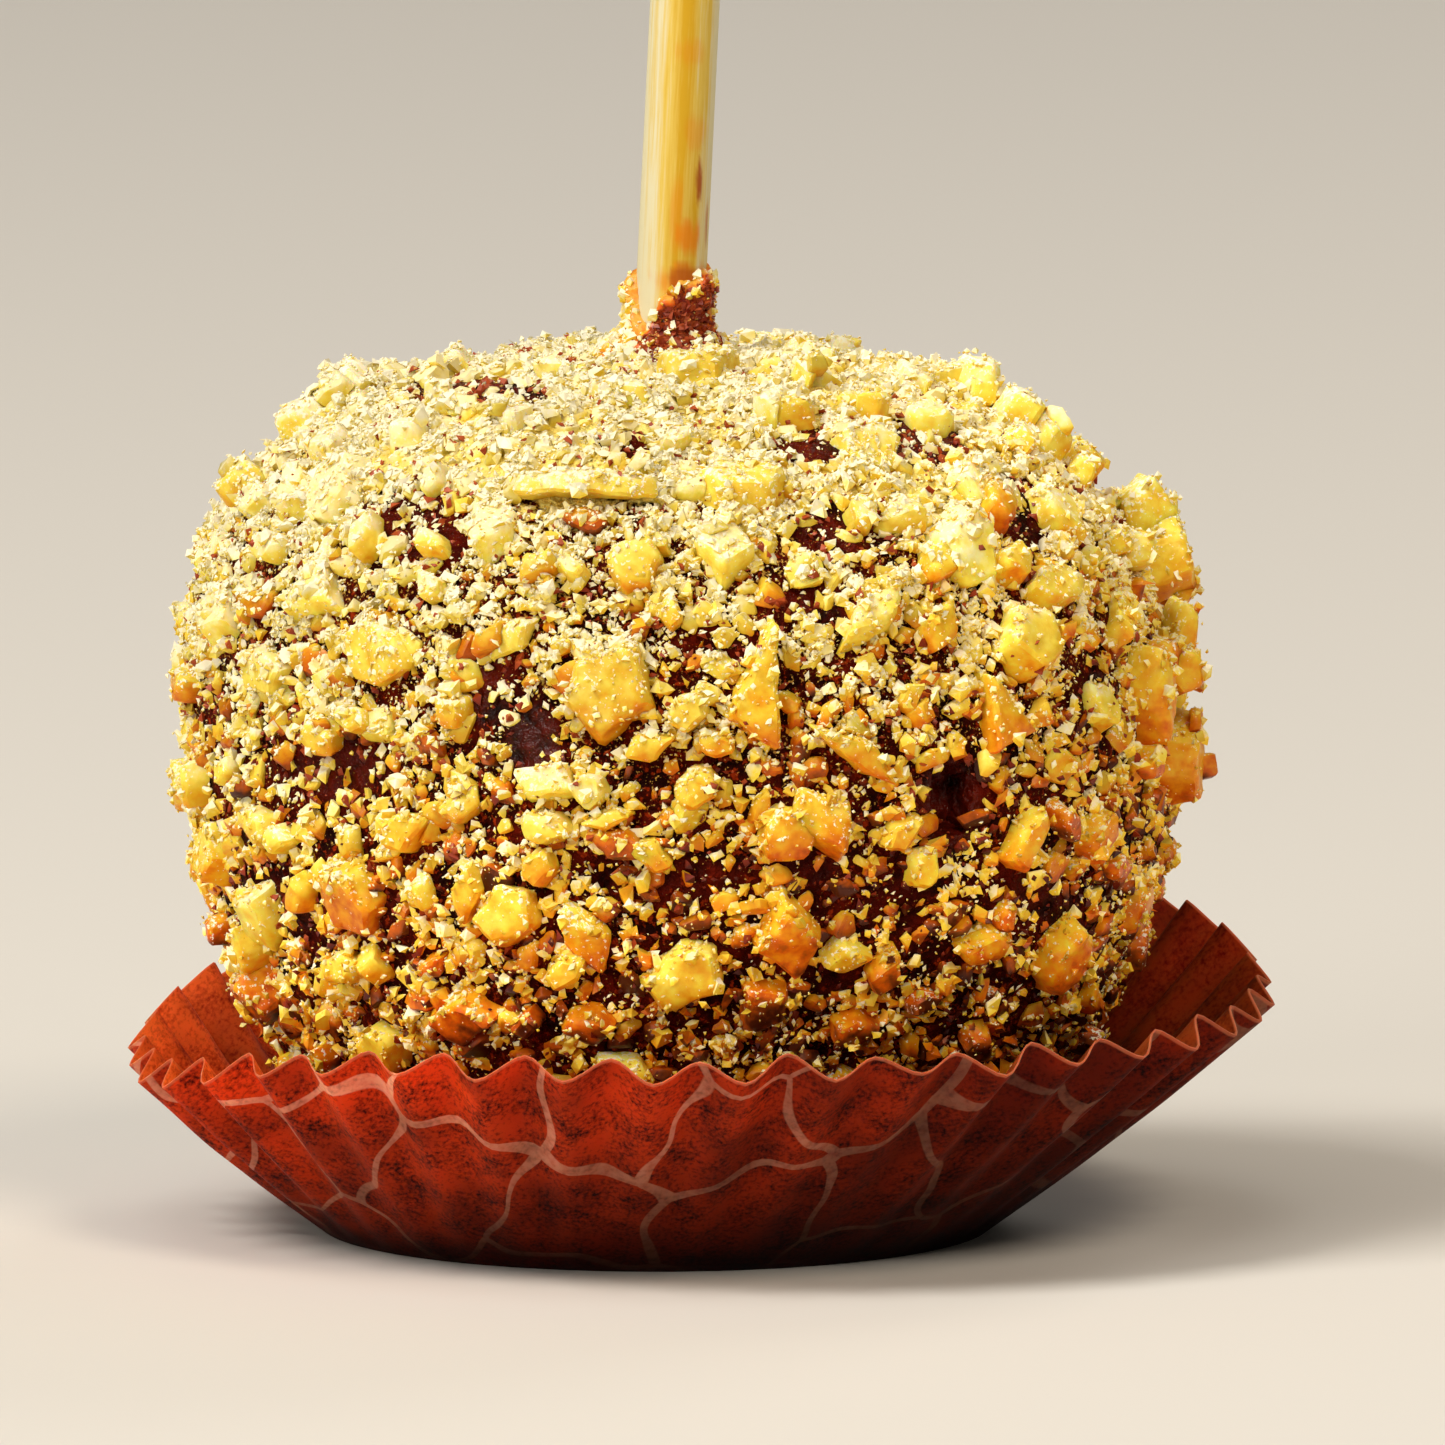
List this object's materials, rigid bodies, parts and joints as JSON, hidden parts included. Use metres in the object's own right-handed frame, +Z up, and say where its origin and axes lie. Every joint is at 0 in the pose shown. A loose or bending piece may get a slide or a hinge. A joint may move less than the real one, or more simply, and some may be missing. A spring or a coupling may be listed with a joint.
{
  "type": "caramel apple",
  "caption": "Flat-topped caramel apple coated in chopped toffee and crumbs, on a round wooden stick, standing in a flared, fluted paper case.",
  "frame": {"origin": "middle of the paper case's flat base, on the surface it stands on", "axes": "+Z up; the front of the apple faces -Y; +X to the right as seen from the front"},
  "size_m": [0.0992, 0.0992, 0.1402],
  "materials": {
    "toffee_coat": "chopped toffee and toffee crumbs, pale yellow to amber, set in dark chocolate and caramel; satin, slightly translucent",
    "wood": "plain turned birch, unvarnished, with straw-coloured grain and a few caramel stains",
    "paper": "thin glassine paper, printed dark red-brown with a fine pinkish-tan crackle line pattern; matte"
  },
  "bodies": {
    "root": {"coated_apple": "toffee_coat", "stick": "wood", "paper_case": "paper"}
  },
  "joints": []
}
